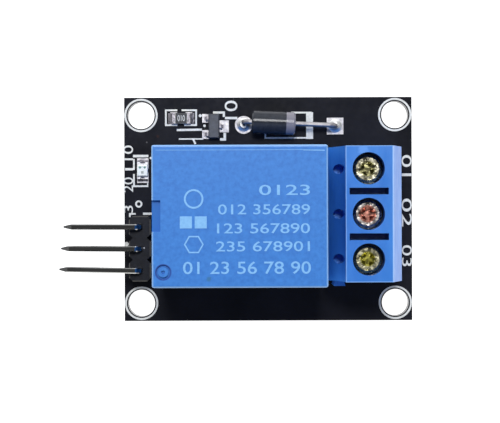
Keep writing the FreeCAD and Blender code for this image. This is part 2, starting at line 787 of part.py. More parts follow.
def make_armature():
    """Hinged plate, contact blade with its bent tail, and the double-headed moving contact."""
    end_x = coil_x + pole_radius + armature_past_pole
    wide = armature_width / 2
    neck = armature_neck / 2
    shoulder_x = leg_inner_x + armature_shoulder
    corners = [(leg_outer_x, relay_y - neck), (shoulder_x, relay_y - wide),
               (end_x, relay_y - wide, armature_corner), (end_x, relay_y + wide, armature_corner),
               (shoulder_x, relay_y + wide), (leg_outer_x, relay_y + neck)]
    plate = prism(corners, in_xy(hinge_z), Vector(0, 0, armature_thickness))
    top = hinge_z + armature_thickness
    plate = round_edges(plate, blade_bend, lambda edge: edge.BoundBox.XMax < leg_outer_x + near
                        and edge.BoundBox.ZMin > top - near)
    armature = raised(plate)

    height = armature_thickness + blade_thickness / 2
    tail_x = leg_outer_x - blade_gap - blade_thickness / 2
    corner_along = (tail_x - leg_outer_x + height * math.sin(armature_tilt)) / math.cos(armature_tilt)
    path = [on_armature(contact_radius + blade_past_contact, height), on_armature(corner_along, height),
            (tail_x, hinge_z - blade_tail)]
    blade = prism(strip_outline(path, blade_thickness, blade_bend), in_xz(relay_y - blade_width / 2),
                  Vector(0, blade_width, 0))
    shank = raised(rod(contact_x, relay_y, top - past, top + past, contact_shank_radius + core_gap))
    blade = blade.cut(shank)
    contact = one_of([rod(contact_x, relay_y, top - contact_lower_head, top, contact_head_radius),
                      flat_sided(contact_x, relay_y, top - near, top + blade_thickness + near,
                                 contact_shank_radius, contact_shank_radius),
                      rod(contact_x, relay_y, top + blade_thickness,
                          top + blade_thickness + contact_upper_head, contact_head_radius)])
    return {"relay_armature": armature, "relay_contact_blade": blade, "relay_moving_contact": raised(contact)}


def contact_strip(side, arm_z):
    """Fixed contact: pin, wide upright and an arm over to the middle, bent from one strip."""
    y = relay_y + side * pin_side
    end_y = relay_y - side * arm_past_centre
    flat = strip_thickness / 2
    left = contact_x - strip_width / 2
    sweep = Vector(strip_width, 0, 0)
    column = box(left, left + strip_width, y - flat, y + flat, stub_z, arm_z - arm_thickness)
    y0, y1 = sorted((y + side * flat, end_y))
    arm = box(left, left + strip_width, y0, y1, arm_z - arm_thickness, arm_z)
    arm = round_edges(arm, strip_bend, lambda edge: edge.BoundBox.ZMin > arm_z - near
                      and abs(edge.BoundBox.YMin - (y + side * flat)) < near
                      and edge_span(edge)[1] < near)
    strip = one_of([column, arm])
    pin_left = strip_pin_x - strip_pin_width / 2
    pin_right = strip_pin_x + strip_pin_width / 2
    strip = strip.cut(box(left - past, pin_left, y - past, y + past, stub_z - past, base_top_z))
    return strip.cut(box(pin_right, left + strip_width + past, y - past, y + past, stub_z - past, base_top_z))


def make_fixed_contacts():
    """The two fixed contacts with their rivets, the common strip and the coil pins."""
    upper_z = upper_strip_top_z
    lower_z = lower_contact_z - fixed_contact_height
    pieces = {
        "relay_strip_closed": contact_strip(1, upper_z),
        "relay_rivet_closed": rod(contact_x, relay_y, upper_contact_z, upper_z - arm_thickness,
                                  fixed_contact_radius),
        "relay_strip_open": contact_strip(-1, lower_z),
        "relay_rivet_open": rod(contact_x, relay_y, lower_z, lower_contact_z, fixed_contact_radius),
    }
    flat = strip_thickness / 2
    pin = strip_pin_width / 2
    common_top = hinge_z - blade_tail - blade_gap
    common = one_of([box(common_x - flat, common_x + flat, relay_y - pin, relay_y + pin, stub_z, common_top),
                     box(common_x - flat, common_x + flat, relay_y - blade_width / 2,
                         relay_y + blade_width / 2, base_top_z, common_top)])
    pieces["relay_strip_common"] = common
    half = coil_pin_size / 2
    for number, side in ((1, 1), (2, -1)):
        y = relay_y + side * pin_side
        pieces["relay_coil_pin_%d" % number] = box(
            coil_pin_x - half, coil_pin_x + half, y - half, y + half, stub_z, board_top + coil_pin_rise)
    return pieces


def make_terminal_housing():
    """Moulding of the screw terminal: leaning front and rear, and one bay for each clamp."""
    rear = terminal_x - housing_rear
    front = terminal_x + housing_front
    length = pole_count * pole_pitch
    low_y = terminal_y - length / 2
    high_y = terminal_y + length / 2
    lean_top = Vector(rear + housing_rear_lean, low_y, housing_top_z)
    lean_foot = Vector(rear, low_y, board_top + housing_rear_step)
    sag = (lean_top + lean_foot) * 0.5 + Vector(housing_rear_hollow, 0, -housing_rear_sag)
    corners = [lean_top, Vector(front - housing_front_lean, low_y, housing_top_z),
               Vector(front, low_y, board_top + housing_front_step), Vector(front, low_y, board_top),
               Vector(rear, low_y, board_top), lean_foot]
    edges = [Part.LineSegment(a, b).toShape() for a, b in zip(corners, corners[1:])]
    edges.append(Part.Arc(lean_foot, sag, lean_top).toShape())
    body = Part.Face(Part.Wire(edges)).extrude(Vector(0, length, 0))

    ridge_rear_x = terminal_x - ridge_rear
    ridge_front_x = terminal_x - ridge_front

    def dovetail(y, out, grow):
        """The rail that joins one block to the next, widest at its outer face."""
        outline = [(ridge_rear_x + ridge_lean - grow, y + near), (ridge_front_x - ridge_lean + grow, y + near),
                   (ridge_front_x + grow, y - out), (ridge_rear_x - grow, y - out)]
        return prism(outline, in_xy(board_top), Vector(0, 0, ridge_height + grow))

    body = body.cut(dovetail(high_y, ridge_out + ridge_fit, ridge_fit))
    body = one_of([body, dovetail(low_y, ridge_out, 0.0)])
    for y in pole_ys:
        for shape in pole_cuts(y, front):
            body = body.cut(shape)
    for y in pole_ys[1:]:
        wall_y = y + pole_pitch / 2
        body = body.cut(box(terminal_x - slot_rear, terminal_x + slot_front, wall_y - slot_width / 2,
                            wall_y + slot_width / 2, housing_top_z - slot_depth, housing_top_z + past))
    return body


def pole_cuts(y, front):
    """What is hollow in one pole: bay, screw hole, wire entry and probe hole."""
    half = bay_width / 2
    bar_half = bar_width / 2 + cage_fit
    bay = box(cage_rear_x - cage_fit, bay_front_x, y - half, y + half, board_top - past, bay_top_z)
    rear_pocket = box(bay_rear_x, bay_front_x, y - bar_half, y + bar_half, board_top - past,
                      bar_z + bar_thickness + bar_air)
    access = rod(terminal_x, y, bay_top_z - near, housing_top_z + past, access_radius)
    wide = entry_width / 2
    flare = wide + entry_flare
    low = board_top + entry_floor
    high = board_top + entry_top
    mouth = prism([(y - wide, low), (y + wide, low), (y + wide, high, entry_round),
                   (y - wide, high, entry_round)], in_yz(bay_front_x - past), Vector(housing_front, 0, 0))
    inner = [(y - wide, low), (y + wide, low), (y + wide, high), (y - wide, high)]
    outer = [(y - flare, low), (y + flare, low), (y + flare, high + entry_flare), (y - flare, high + entry_flare)]
    funnel = Part.makeLoft([rounded_wire(inner, in_yz(front - entry_flare_depth)),
                            rounded_wire(outer, in_yz(front))], True, True)
    probe = rod(terminal_x + probe_x, y, board_top + probe_floor, housing_top_z, probe_radius)
    return [bay, rear_pocket, access, mouth, funnel, probe]


def make_clamp(number, y, turn):
    """Cage, bar and screw of one pole."""
    half = bay_width / 2 - cage_fit
    cage = box(cage_rear_x, cage_front_x, y - half, y + half, cage_z, cage_z + cage_height)
    hollow = box(cage_rear_x - past, cage_front_x + past, y - half + cage_side, y + half - cage_side,
                 wire_z, cage_top_z)
    cage = cage.cut(hollow)
    cage = cage.makeChamfer(cage_corner, [edge for edge in cage.Edges if edge_span(edge)[0] > cage_side
                                          and abs(edge.BoundBox.YMin - y) > half - near])
    cage = cage.cut(rod(terminal_x, y, cage_top_z - near, cage_z + cage_height + past, screw_hole_radius))

    bar_end_x = bay_front_x - bar_end_air
    path = [(bar_end_x, bar_z + bar_thickness / 2), (bar_pin_x, bar_z + bar_thickness / 2), (bar_pin_x, stub_z)]
    bar = prism(strip_outline(path, bar_thickness, bar_bend), in_xz(y - bar_width / 2),
                Vector(0, bar_width, 0))
    for side in (-1, 1):
        y0, y1 = sorted((y + side * bar_pin_width / 2, y + side * bar_width))
        bar = bar.cut(box(bar_pin_x - past, bar_pin_x + past, y0, y1, stub_z - past, board_top + cage_floor_air))

    tip_z = bar_z + bar_thickness + screw_tip_air
    head_z = screw_head_z
    shank = rod(terminal_x, y, tip_z + screw_tip_cone, head_z + near, screw_radius)
    tip = Part.makeCone(screw_radius - screw_tip_cone, screw_radius, screw_tip_cone,
                        Vector(terminal_x, y, tip_z))
    head = rod(terminal_x, y, head_z, head_z + screw_head_height, screw_head_radius)
    head = head.makeChamfer(screw_head_bevel, [edge for edge in head.Edges
                                               if edge.BoundBox.ZMin > head_z + screw_head_height - near])
    screw = one_of([shank, tip, head])
    floor = head_z + screw_head_height - screw_recess_depth
    arm = screw_recess_width / 2
    recess = one_of([
        box(terminal_x - arm, terminal_x + arm, y - screw_slot_reach, y + screw_slot_reach, floor, head_z + past),
        box(terminal_x - screw_cross_reach, terminal_x + screw_cross_reach, y - arm, y + arm,
            floor, head_z + past),
        flat_sided(terminal_x, y, floor, floor + screw_recess_depth, arm, screw_recess_middle)])
    recess.rotate(Vector(terminal_x, y, 0), Vector(0, 0, 1), turn)
    screw = screw.cut(recess)
    return {"clamp_cage_%d" % number: cage, "terminal_bar_%d" % number: bar, "clamp_screw_%d" % number: screw}


def make_parts():
    """Every node of the assembly by name."""
    parts = {"circuit_board": make_board(), "header_housing": make_header_housing()}
    pins = zip(header_ys, header_pin_reach, header_pin_turns)
    for number, (y, reach, turn) in enumerate(pins, 1):
        parts["header_pin_%d" % number] = make_header_pin(y, reach, turn)
    parts.update(make_lamp())
    parts.update(make_resistor())
    parts.update(make_transistor())
    parts.update(make_diode())
    parts["relay_cover"] = make_relay_cover()
    parts["relay_base"] = make_relay_base()
    parts.update(make_magnet())
    parts.update(make_armature())
    parts.update(make_fixed_contacts())
    parts["terminal_housing"] = make_terminal_housing()
    for number, (y, turn) in enumerate(zip(pole_ys, screw_turns), 1):
        parts.update(make_clamp(number, y, turn))
    parts.update(make_solder())
    return parts


os.makedirs("parts", exist_ok=True)
for name, shape in make_parts().items():
    shape.exportStep("parts/%s.step" % name)
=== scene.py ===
import json
import math
import bmesh
import bpy
from mathutils import Matrix, Vector


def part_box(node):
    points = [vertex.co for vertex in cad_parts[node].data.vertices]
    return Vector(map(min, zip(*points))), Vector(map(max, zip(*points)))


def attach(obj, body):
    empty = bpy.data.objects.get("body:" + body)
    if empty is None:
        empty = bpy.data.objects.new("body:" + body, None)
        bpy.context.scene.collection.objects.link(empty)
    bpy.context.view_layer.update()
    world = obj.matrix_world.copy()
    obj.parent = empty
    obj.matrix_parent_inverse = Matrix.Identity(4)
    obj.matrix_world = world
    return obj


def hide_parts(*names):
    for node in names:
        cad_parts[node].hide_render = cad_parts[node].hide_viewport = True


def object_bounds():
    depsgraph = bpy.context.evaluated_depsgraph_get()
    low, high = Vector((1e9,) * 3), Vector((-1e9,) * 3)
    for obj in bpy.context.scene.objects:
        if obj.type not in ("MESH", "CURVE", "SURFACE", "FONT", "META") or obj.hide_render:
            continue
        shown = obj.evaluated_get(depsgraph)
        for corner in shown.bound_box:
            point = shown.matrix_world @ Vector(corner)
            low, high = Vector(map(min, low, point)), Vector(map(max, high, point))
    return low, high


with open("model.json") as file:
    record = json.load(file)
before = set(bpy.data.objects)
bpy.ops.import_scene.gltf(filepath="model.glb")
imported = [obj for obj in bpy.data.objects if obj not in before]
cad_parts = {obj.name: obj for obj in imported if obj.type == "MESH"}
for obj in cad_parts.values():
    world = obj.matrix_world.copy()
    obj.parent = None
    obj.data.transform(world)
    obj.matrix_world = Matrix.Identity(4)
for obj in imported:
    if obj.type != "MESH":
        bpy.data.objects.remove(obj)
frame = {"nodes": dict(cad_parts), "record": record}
cad_box = [list(corner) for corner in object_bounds()]

# Lengths are in metres, and mm turns millimetres into them

mm = 0.001

board_low, board_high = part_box("circuit_board")
board_top = board_high.z
board_under = board_low.z
cover_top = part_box("relay_cover")[1].z
header_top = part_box("header_housing")[1].z
block_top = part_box("terminal_housing")[1].z

ink_thickness = 0.03 * mm
pad_thickness = 0.04 * mm
track_thickness = 0.05 * mm
sink = 0.01 * mm              # how far a printed or plated layer reaches into what carries it
hair = 0.001 * mm             # strokes that meet differ by this much, so no two faces share a plane
weld = 0.0001 * mm            # corners that lie closer together than this become one
sharp_angle = 35              # edges of a new piece stay sharp from this many degrees


# Places in the frame

lead_stub = 0.5 * mm          # leads are measured from this far under the board


def lead_end(node):
    """Centre and half sizes of a lead where it stands out under the board."""
    points = [v.co for v in frame["nodes"][node].data.vertices if v.co.z < board_under - lead_stub]
    xs = [p.x for p in points]
    ys = [p.y for p in points]
    centre = Vector(((min(xs) + max(xs)) / 2, (min(ys) + max(ys)) / 2))
    return centre, Vector(((max(xs) - min(xs)) / 2, (max(ys) - min(ys)) / 2))


def middle_of(node):
    """A piece's middle, seen from above."""
    low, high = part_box(node)
    return Vector(((low.x + high.x) / 2, (low.y + high.y) / 2))


# Colours and node trees

# Sockets of the node that mixes two colours
mix_share, mix_first, mix_second, mixed = 0, 6, 7, 2
# Most of a noise's values lie between these
noise_low, noise_high = 0.3, 0.7


def colour(code):
    """An sRGB hex value as linear red, green, blue and alpha."""
    channels = [int(code[i:i + 2], 16) / 255 for i in (1, 3, 5)]
    return [c / 12.92 if c <= 0.04045 else ((c + 0.055) / 1.055) ** 2.4 for c in channels] + [1.0]


def add(tree, kind, inputs=(), **settings):
    """Adds a node with its settings; each input takes a value or another node's socket."""
    node = tree.nodes.new(kind)
    for name, value in settings.items():
        setattr(node, name, value)
    for name, value in dict(inputs).items():
        if isinstance(value, bpy.types.NodeSocket):
            tree.links.new(value, node.inputs[name])
        else:
            node.inputs[name].default_value = value
    return node


def surface(name, tones, kind, blotch, grain, relief, gloss, stretch=(1, 1, 1)):
    """A finish whose colour drifts between two tones in blotches, over a grain that varies its gloss.

    kind holds the shader's own constants. The lengths of a blotch and of a grain, and the depth of
    the relief, are in millimetres. gloss is the range of the roughness.
    """
    made = bpy.data.materials.new(name)
    made.use_nodes = True
    tree = made.node_tree
    tree.nodes.clear()
    place = add(tree, "ShaderNodeTexCoord")
    drawn = add(tree, "ShaderNodeMapping", {"Vector": place.outputs["Object"], "Scale": stretch})
    cloud = add(tree, "ShaderNodeTexNoise", {
        "Vector": drawn.outputs["Vector"], "Scale": 1 / (blotch * mm), "Detail": 4.0, "Roughness": 0.6})
    fine = add(tree, "ShaderNodeTexNoise", {
        "Vector": drawn.outputs["Vector"], "Scale": 1 / (grain * mm), "Detail": 2.0})
    share = add(tree, "ShaderNodeMapRange", {
        "Value": cloud.outputs["Fac"], "From Min": noise_low, "From Max": noise_high})
    tone = add(tree, "ShaderNodeMix", {
        mix_share: share.outputs["Result"], mix_first: colour(tones[0]),
        mix_second: colour(tones[1])}, data_type="RGBA")
    rough = add(tree, "ShaderNodeMapRange", {
        "Value": fine.outputs["Fac"], "From Min": noise_low, "From Max": noise_high,
        "To Min": gloss[0], "To Max": gloss[1]})
    bump = add(tree, "ShaderNodeBump", {"Height": fine.outputs["Fac"], "Distance": relief * mm})
    shader = add(tree, "ShaderNodeBsdfPrincipled", {
        "Base Color": tone.outputs[mixed], "Roughness": rough.outputs["Result"],
        "Normal": bump.outputs["Normal"], **kind})
    add(tree, "ShaderNodeOutputMaterial", {"Surface": shader.outputs["BSDF"]})
    return made


def lay(made, share, code):
    """Lays another colour over a finish, as far as the share that comes from a socket."""
    tree = made.node_tree
    base = tree.nodes["Principled BSDF"].inputs["Base Color"]
    both = add(tree, "ShaderNodeMix", {
        mix_share: share, mix_first: base.links[0].from_socket, mix_second: colour(code)},
        data_type="RGBA")
    tree.links.new(both.outputs[mixed], base)


# Other colours on a part of a finish

spot_grain = 0.3 * mm         # how fine the ragged edge of a spot is
spot_fade = 1.5               # a spot has faded out at this many times its reach
spot_cover = 0.85             # how far a spot hides what it lies on
depth_fade = 0.1 * mm         # how softly a colour changes with depth
collar_fade_in = 0.06 * mm    # how far a collar's edge fades inside its width
collar_fade_out = 0.04 * mm   # and outside it
rim_height = 0.3 * mm         # how far down from a moulding's top its rim is looked for
rim_full = 0.6                # share of a painted edge highlight's width that is fully pale
wall_inset = 0.3 * mm         # inner walls are looked for this far inside the outline
wall_drop = 0.03 * mm         # and this far under the top


def spotted(made, spots):
    """Lays soft-edged spots over a finish, each with its centre, its reach and its colour."""
    tree = made.node_tree
    place = add(tree, "ShaderNodeTexCoord")
    ragged = add(tree, "ShaderNodeTexNoise", {
        "Vector": place.outputs["Object"], "Scale": 1 / spot_grain})
    for centre, reach, code in spots:
        far = add(tree, "ShaderNodeVectorMath", {0: place.outputs["Object"], 1: centre},
                  operation="DISTANCE")
        edge = add(tree, "ShaderNodeMath", {0: ragged.outputs["Fac"], 1: reach, 2: far.outputs["Value"]},
                   operation="MULTIPLY_ADD")
        share = add(tree, "ShaderNodeMapRange", {
            "Value": edge.outputs[0], "From Min": reach, "From Max": spot_fade * reach,
            "To Min": spot_cover, "To Max": 0.0})
        lay(made, share.outputs["Result"], code)


def painted_shade_below(made, height, code):
    """Painted shade: another colour below a height."""
    tree = made.node_tree
    place = add(tree, "ShaderNodeTexCoord")
    level = add(tree, "ShaderNodeSeparateXYZ", {"Vector": place.outputs["Object"]})
    below = add(tree, "ShaderNodeMapRange", {
        "Value": level.outputs["Z"], "From Min": height - depth_fade, "From Max": height,
        "To Min": 1.0, "To Max": 0.0})
    lay(made, below.outputs["Result"], code)


def collar(made, axis, inner, outer, code):
    """Another colour between two radii about an upright axis."""
    tree = made.node_tree
    place = add(tree, "ShaderNodeTexCoord")
    flat = add(tree, "ShaderNodeVectorMath", {0: place.outputs["Object"], 1: (1, 1, 0)},
               operation="MULTIPLY")
    out = add(tree, "ShaderNodeVectorMath", {0: flat.outputs["Vector"], 1: (axis.x, axis.y, 0)},
              operation="DISTANCE")
    from_middle = add(tree, "ShaderNodeMath", {0: out.outputs["Value"], 1: (inner + outer) / 2},
                      operation="SUBTRACT")
    far = add(tree, "ShaderNodeMath", {0: from_middle.outputs[0]}, operation="ABSOLUTE")
    reach = (outer - inner) / 2
    share = add(tree, "ShaderNodeMapRange", {
        "Value": far.outputs[0], "From Min": reach - collar_fade_in,
        "From Max": reach + collar_fade_out, "To Min": 1.0, "To Max": 0.0})
    lay(made, share.outputs["Result"], code)


def inside_outline(tree, node):
    """How far a point lies inside the outline of a moulding's top, and how far above its rim's foot."""
    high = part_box(node)[1].z
    rim = [v.co for v in frame["nodes"][node].data.vertices if v.co.z > high - rim_height]
    xs = [p.x for p in rim]
    ys = [p.y for p in rim]
    centre = ((min(xs) + max(xs)) / 2, (min(ys) + max(ys)) / 2, high)
    half = ((max(xs) - min(xs)) / 2, (max(ys) - min(ys)) / 2, rim_height)
    place = add(tree, "ShaderNodeTexCoord")
    offset = add(tree, "ShaderNodeVectorMath", {0: place.outputs["Object"], 1: centre},
                 operation="SUBTRACT")
    reach = add(tree, "ShaderNodeVectorMath", {0: offset.outputs["Vector"]}, operation="ABSOLUTE")
    inside = add(tree, "ShaderNodeVectorMath", {0: half, 1: reach.outputs["Vector"]},
                 operation="SUBTRACT")
    to_side = add(tree, "ShaderNodeSeparateXYZ", {"Vector": inside.outputs["Vector"]})
    nearest = add(tree, "ShaderNodeMath", {0: to_side.outputs["X"], 1: to_side.outputs["Y"]},
                  operation="MINIMUM")
    return nearest.outputs[0], to_side.outputs["Z"]


def painted_edge_highlight(made, node, width, code):
    """Painted highlight: paints the edges of a moulding's top face paler, over a width in metres."""
    tree = made.node_tree
    distance, level = inside_outline(tree, node)
    near = add(tree, "ShaderNodeMapRange", {
        "Value": distance, "From Min": rim_full * width, "From Max": width,
        "To Min": 1.0, "To Max": 0.0})
    high_up = add(tree, "ShaderNodeMath", {0: level, 1: 0.0}, operation="GREATER_THAN")
    share = add(tree, "ShaderNodeMath", {0: near.outputs["Result"], 1: high_up.outputs[0]},
                operation="MULTIPLY")
    lay(made, share.outputs[0], code)


def painted_shade_in_slots(made, node, code):
    """Painted shade: another colour down the slots and holes of a moulding, where little light gets back
    out.
    """
    tree = made.node_tree
    distance, level = inside_outline(tree, node)
    within = add(tree, "ShaderNodeMath", {0: distance, 1: wall_inset}, operation="GREATER_THAN")
    low = add(tree, "ShaderNodeMath", {0: level, 1: rim_height - wall_drop}, operation="LESS_THAN")
    share = add(tree, "ShaderNodeMath", {0: within.outputs[0], 1: low.outputs[0]},
                operation="MULTIPLY")
    lay(made, share.outputs[0], code)


# Places of marks

# The vent mark on the cover: a ring-shaped groove round a pit, with painted shade laid over the groove
vent_axis = Vector((-11.51, -6.81)) * mm
vent_groove_inner = 0.71 * mm
vent_groove_outer = 0.9 * mm

# Spots as (place, reach, colour): a smudge on the cover, a plated hole and a brownish fleck
# on the board, a paler patch by the first screw and a painted highlight on the header by a pin
cover_spots = [((-6.58 * mm, -7.58 * mm, cover_top), 0.3 * mm, "#2c6ea0")]
board_spots = [((-14.33 * mm, 7.92 * mm, board_top), 0.13 * mm, "#5c5c60"),
               ((-13.03 * mm, 8.63 * mm, board_top), 0.22 * mm, "#332524")]
block_spots = [((10.5 * mm, 6.6 * mm, block_top), 0.7 * mm, "#5a9aea")]
# Painted highlight: a white glint on the header's top by a pin's bend
header_glint = [((-14.5 * mm, -4.5 * mm, header_top), 0.09 * mm, "#e8eaec")]

# The diode lies a little askew, so its band is measured along its own axis
diode_low, diode_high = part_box("diode_body")
diode_centre = (diode_low + diode_high) / 2
diode_run = lead_end("diode_lead_right")[0] - lead_end("diode_lead_left")[0]
diode_way = diode_run.normalized().to_3d()
band_width = 1.05 * mm
band_start = (diode_high.x - diode_low.x) / 2 - band_width
band_grain = 0.4 * mm         # how fine the ragged edge of the band is
band_ragged = 0.12 * mm       # and how deep

# Painted shade at the pins' bends: a darker tin there dims the blue that the bends mirror
pins = ("header_pin_1", "header_pin_2", "header_pin_3")
bend_reach = 0.55 * mm
pin_bend_shade = []
for pin in pins:
    root = lead_end(pin)[0]
    pin_bend_shade.append(((root.x, root.y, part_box(pin)[1].z), bend_reach, "#4c4e54"))

# The winding's turns, drawn coarser than the real wire
wire_pitch = 0.12 * mm
wire_relief = 0.02 * mm


# Materials, each started from what the real one is

metal = {"Metallic": 1.0}
plastic = {"IOR": 1.5}
resin = {"IOR": 1.54, "Transmission Weight": 0.05}
# Black ones look black only where they mirror little of the bright room
lacquer = {"IOR": 1.24}
dull_black = {"IOR": 1.33}
face_level = 0.5              # a face is one of the board's two large ones when it is more upright


def solder_mask():
    """Black lacquer on glass cloth: smooth, with the bare laminate at the cut edges."""
    made = surface("black_solder_mask", ("#191a1f", "#22232a"), lacquer,
                   blotch=6, grain=0.6, relief=0.001, gloss=(0.16, 0.24))
    tree = made.node_tree
    shape = add(tree, "ShaderNodeNewGeometry")
    up = add(tree, "ShaderNodeSeparateXYZ", {"Vector": shape.outputs["Normal"]})
    level = add(tree, "ShaderNodeMath", {0: up.outputs["Z"]}, operation="ABSOLUTE")
    cut_edge = add(tree, "ShaderNodeMath", {0: level.outputs[0], 1: face_level}, operation="LESS_THAN")
    lay(made, cut_edge.outputs[0], "#262319")
    spotted(made, board_spots)
    return made


def screw_zinc(node, ring_tones, middle, reach):
    """Zinc plating under a thin passivation: bright, with a stronger tint down in the recess."""
    made = surface("passivated_zinc_" + node[-1], ring_tones, metal,
                   blotch=0.5, grain=0.5, relief=0.06, gloss=(0.2, 0.36))
    collar(made, middle_of(node), -reach, reach, middle)
    return made


def banded_diode():
    """Black moulding compound with a silver band printed round one end."""
    made = surface("black_compound_with_silver_band", ("#282a30", "#33363d"), {"IOR": 1.26},
                   blotch=0.5, grain=0.3, relief=0.002, gloss=(0.12, 0.2))
    tree = made.node_tree
    place = add(tree, "ShaderNodeTexCoord")
    from_centre = add(tree, "ShaderNodeVectorMath", {0: place.outputs["Object"], 1: diode_centre},
                      operation="SUBTRACT")
    along = add(tree, "ShaderNodeVectorMath", {0: from_centre.outputs["Vector"], 1: diode_way},
                operation="DOT_PRODUCT")
    ragged = add(tree, "ShaderNodeTexNoise", {
        "Vector": place.outputs["Object"], "Scale": 1 / band_grain})
    edge = add(tree, "ShaderNodeMath", {
        0: ragged.outputs["Fac"], 1: band_ragged, 2: along.outputs["Value"]}, operation="MULTIPLY_ADD")
    in_band = add(tree, "ShaderNodeMath", {0: edge.outputs[0], 1: band_start}, operation="GREATER_THAN")
    lay(made, in_band.outputs[0], "#7f7d86")
    return made


def wound_wire():
    """Enamelled copper wound in even layers: fine rings up the coil."""
    enamel = {"Metallic": 0.7, "Coat Weight": 0.4}
    made = surface("enamelled_copper_winding", ("#8f4220", "#b5602f"), enamel,
                   blotch=0.8, grain=0.5, relief=0.0, gloss=(0.3, 0.42))
    tree = made.node_tree
    place = add(tree, "ShaderNodeTexCoord")
    height = add(tree, "ShaderNodeSeparateXYZ", {"Vector": place.outputs["Object"]})
    turn = add(tree, "ShaderNodeMath", {0: height.outputs["Z"], 1: 2 * math.pi / wire_pitch},
               operation="MULTIPLY")
    rise = add(tree, "ShaderNodeMath", {0: turn.outputs[0]}, operation="SINE")
    bump = add(tree, "ShaderNodeBump", {"Height": rise.outputs[0], "Distance": wire_relief})
    tree.links.new(bump.outputs["Normal"], tree.nodes["Principled BSDF"].inputs["Normal"])
    return made


mask = solder_mask()
# The same lacquer over copper: a trace lighter where the copper lies under it
mask_copper = surface("mask_over_copper", ("#1f2026", "#282930"), dull_black,
                      blotch=3, grain=0.6, relief=0.001, gloss=(0.16, 0.24))
# Screen-printed ink: matt, white, a little thin in places
ink = surface("white_screen_ink", ("#d0d2d0", "#eceeec"), plastic,
              blotch=0.35, grain=0.2, relief=0.006, gloss=(0.55, 0.75))
# A laser's pale mark in the blue moulding: matt and faintly grainy
cover_ink = surface("pale_laser_mark", ("#74b0e8", "#86c0f2"), plastic,
                    blotch=0.25, grain=0.2, relief=0.004, gloss=(0.5, 0.65))
# Hot-tinned pads: light grey and dull, with soft waves in the tin
pad_tin = surface("tinned_pad", ("#949298", "#d8d6d8"), metal,
                  blotch=0.5, grain=0.4, relief=0.012, gloss=(0.42, 0.58))
# The chip parts' ends, dull and blotched by their soldering
dull_tin = surface("soldered_chip_end", ("#4e4c52", "#bcb8be"), metal,
                   blotch=0.3, grain=0.2, relief=0.01, gloss=(0.4, 0.56))
# Bright solder, drawn smooth as it froze
solder = surface("bright_solder", ("#c2c3c2", "#ecebe8"), metal,
                 blotch=0.6, grain=0.4, relief=0.01, gloss=(0.34, 0.48))
# Drawn and tinned wire
wire_tin = surface("tinned_wire", ("#8f8c8e", "#b2afb0"), metal,
                   blotch=0.6, grain=0.3, relief=0.002, gloss=(0.38, 0.48))
# Square pins, drawn and tinned: fine lines run along the wire
pin_metal = surface("drawn_tinned_pin", ("#a6a6a4", "#c4c4c0"), metal,
                    blotch=1.2, grain=0.12, relief=0.002, gloss=(0.05, 0.1), stretch=(0.05, 1, 1))
# painted shade on the pins' bends
spotted(pin_metal, pin_bend_shade)
# The lamp's plated ends, rough and blotched from the solder on them
rough_tin = surface("rough_tinned_end", ("#b8b7bc", "#fafafc"), metal,
                    blotch=0.25, grain=0.2, relief=0.012, gloss=(0.5, 0.7))
# What shows through the lamp's clear lens
die_grey = surface("die_grey", ("#949d9d", "#adb5b4"), plastic,
                   blotch=0.2, grain=0.3, relief=0.001, gloss=(0.35, 0.47))
dot_green = surface("green_mark", ("#5a8478", "#7aa497"), plastic,
                    blotch=0.2, grain=0.3, relief=0.001, gloss=(0.4, 0.52))

# Polyester cover from a spark-eroded mould: mid blue, mottled and slightly flecked
cover_rim = 0.22 * mm         # how far in from the cover's outline its painted edge highlight reaches, and how far down from its top its painted shade starts
relay_moulding = surface("blue_filled_polyester", ("#2870c5", "#3581d5"), plastic,
                         blotch=0.5, grain=0.18, relief=0.006, gloss=(0.36, 0.48))
# painted shade over the vent's ring groove
collar(relay_moulding, vent_axis, vent_groove_inner, vent_groove_outer, "#1848a0")
# painted shade on the cover's sides, below its top rim
painted_shade_below(relay_moulding, cover_top - cover_rim, "#0d67bd")
# painted highlight along the edges of the cover's top
painted_edge_highlight(relay_moulding, "relay_cover", cover_rim, "#76a6de")
spotted(relay_moulding, cover_spots)

# Unfilled polyamide: a clearer, glossier blue with faint flow marks
block_rim = 0.1 * mm
block_moulding = surface("blue_polyamide", ("#2d74cd", "#3b84db"), plastic,
                         blotch=2.5, grain=0.5, relief=0.003, gloss=(0.28, 0.4), stretch=(1, 0.4, 1))
# painted shade down the block's slots and holes
painted_shade_in_slots(block_moulding, "terminal_housing", "#1e5098")
# painted highlight along the edges of the block's top
painted_edge_highlight(block_moulding, "terminal_housing", block_rim, "#7fb0ee")
spotted(block_moulding, block_spots)

# Glass-filled nylon: blue-black, matt on its skin
header_rim = 0.14 * mm
header_moulding = surface("black_glass_filled_nylon", ("#0e1016", "#181b24"), dull_black,
                          blotch=0.8, grain=0.15, relief=0.004, gloss=(0.32, 0.44))
# painted highlight along the edges of the header's top
painted_edge_highlight(header_moulding, "header_housing", header_rim, "#4c4a46")
# painted highlight on the header's top
spotted(header_moulding, header_glint)

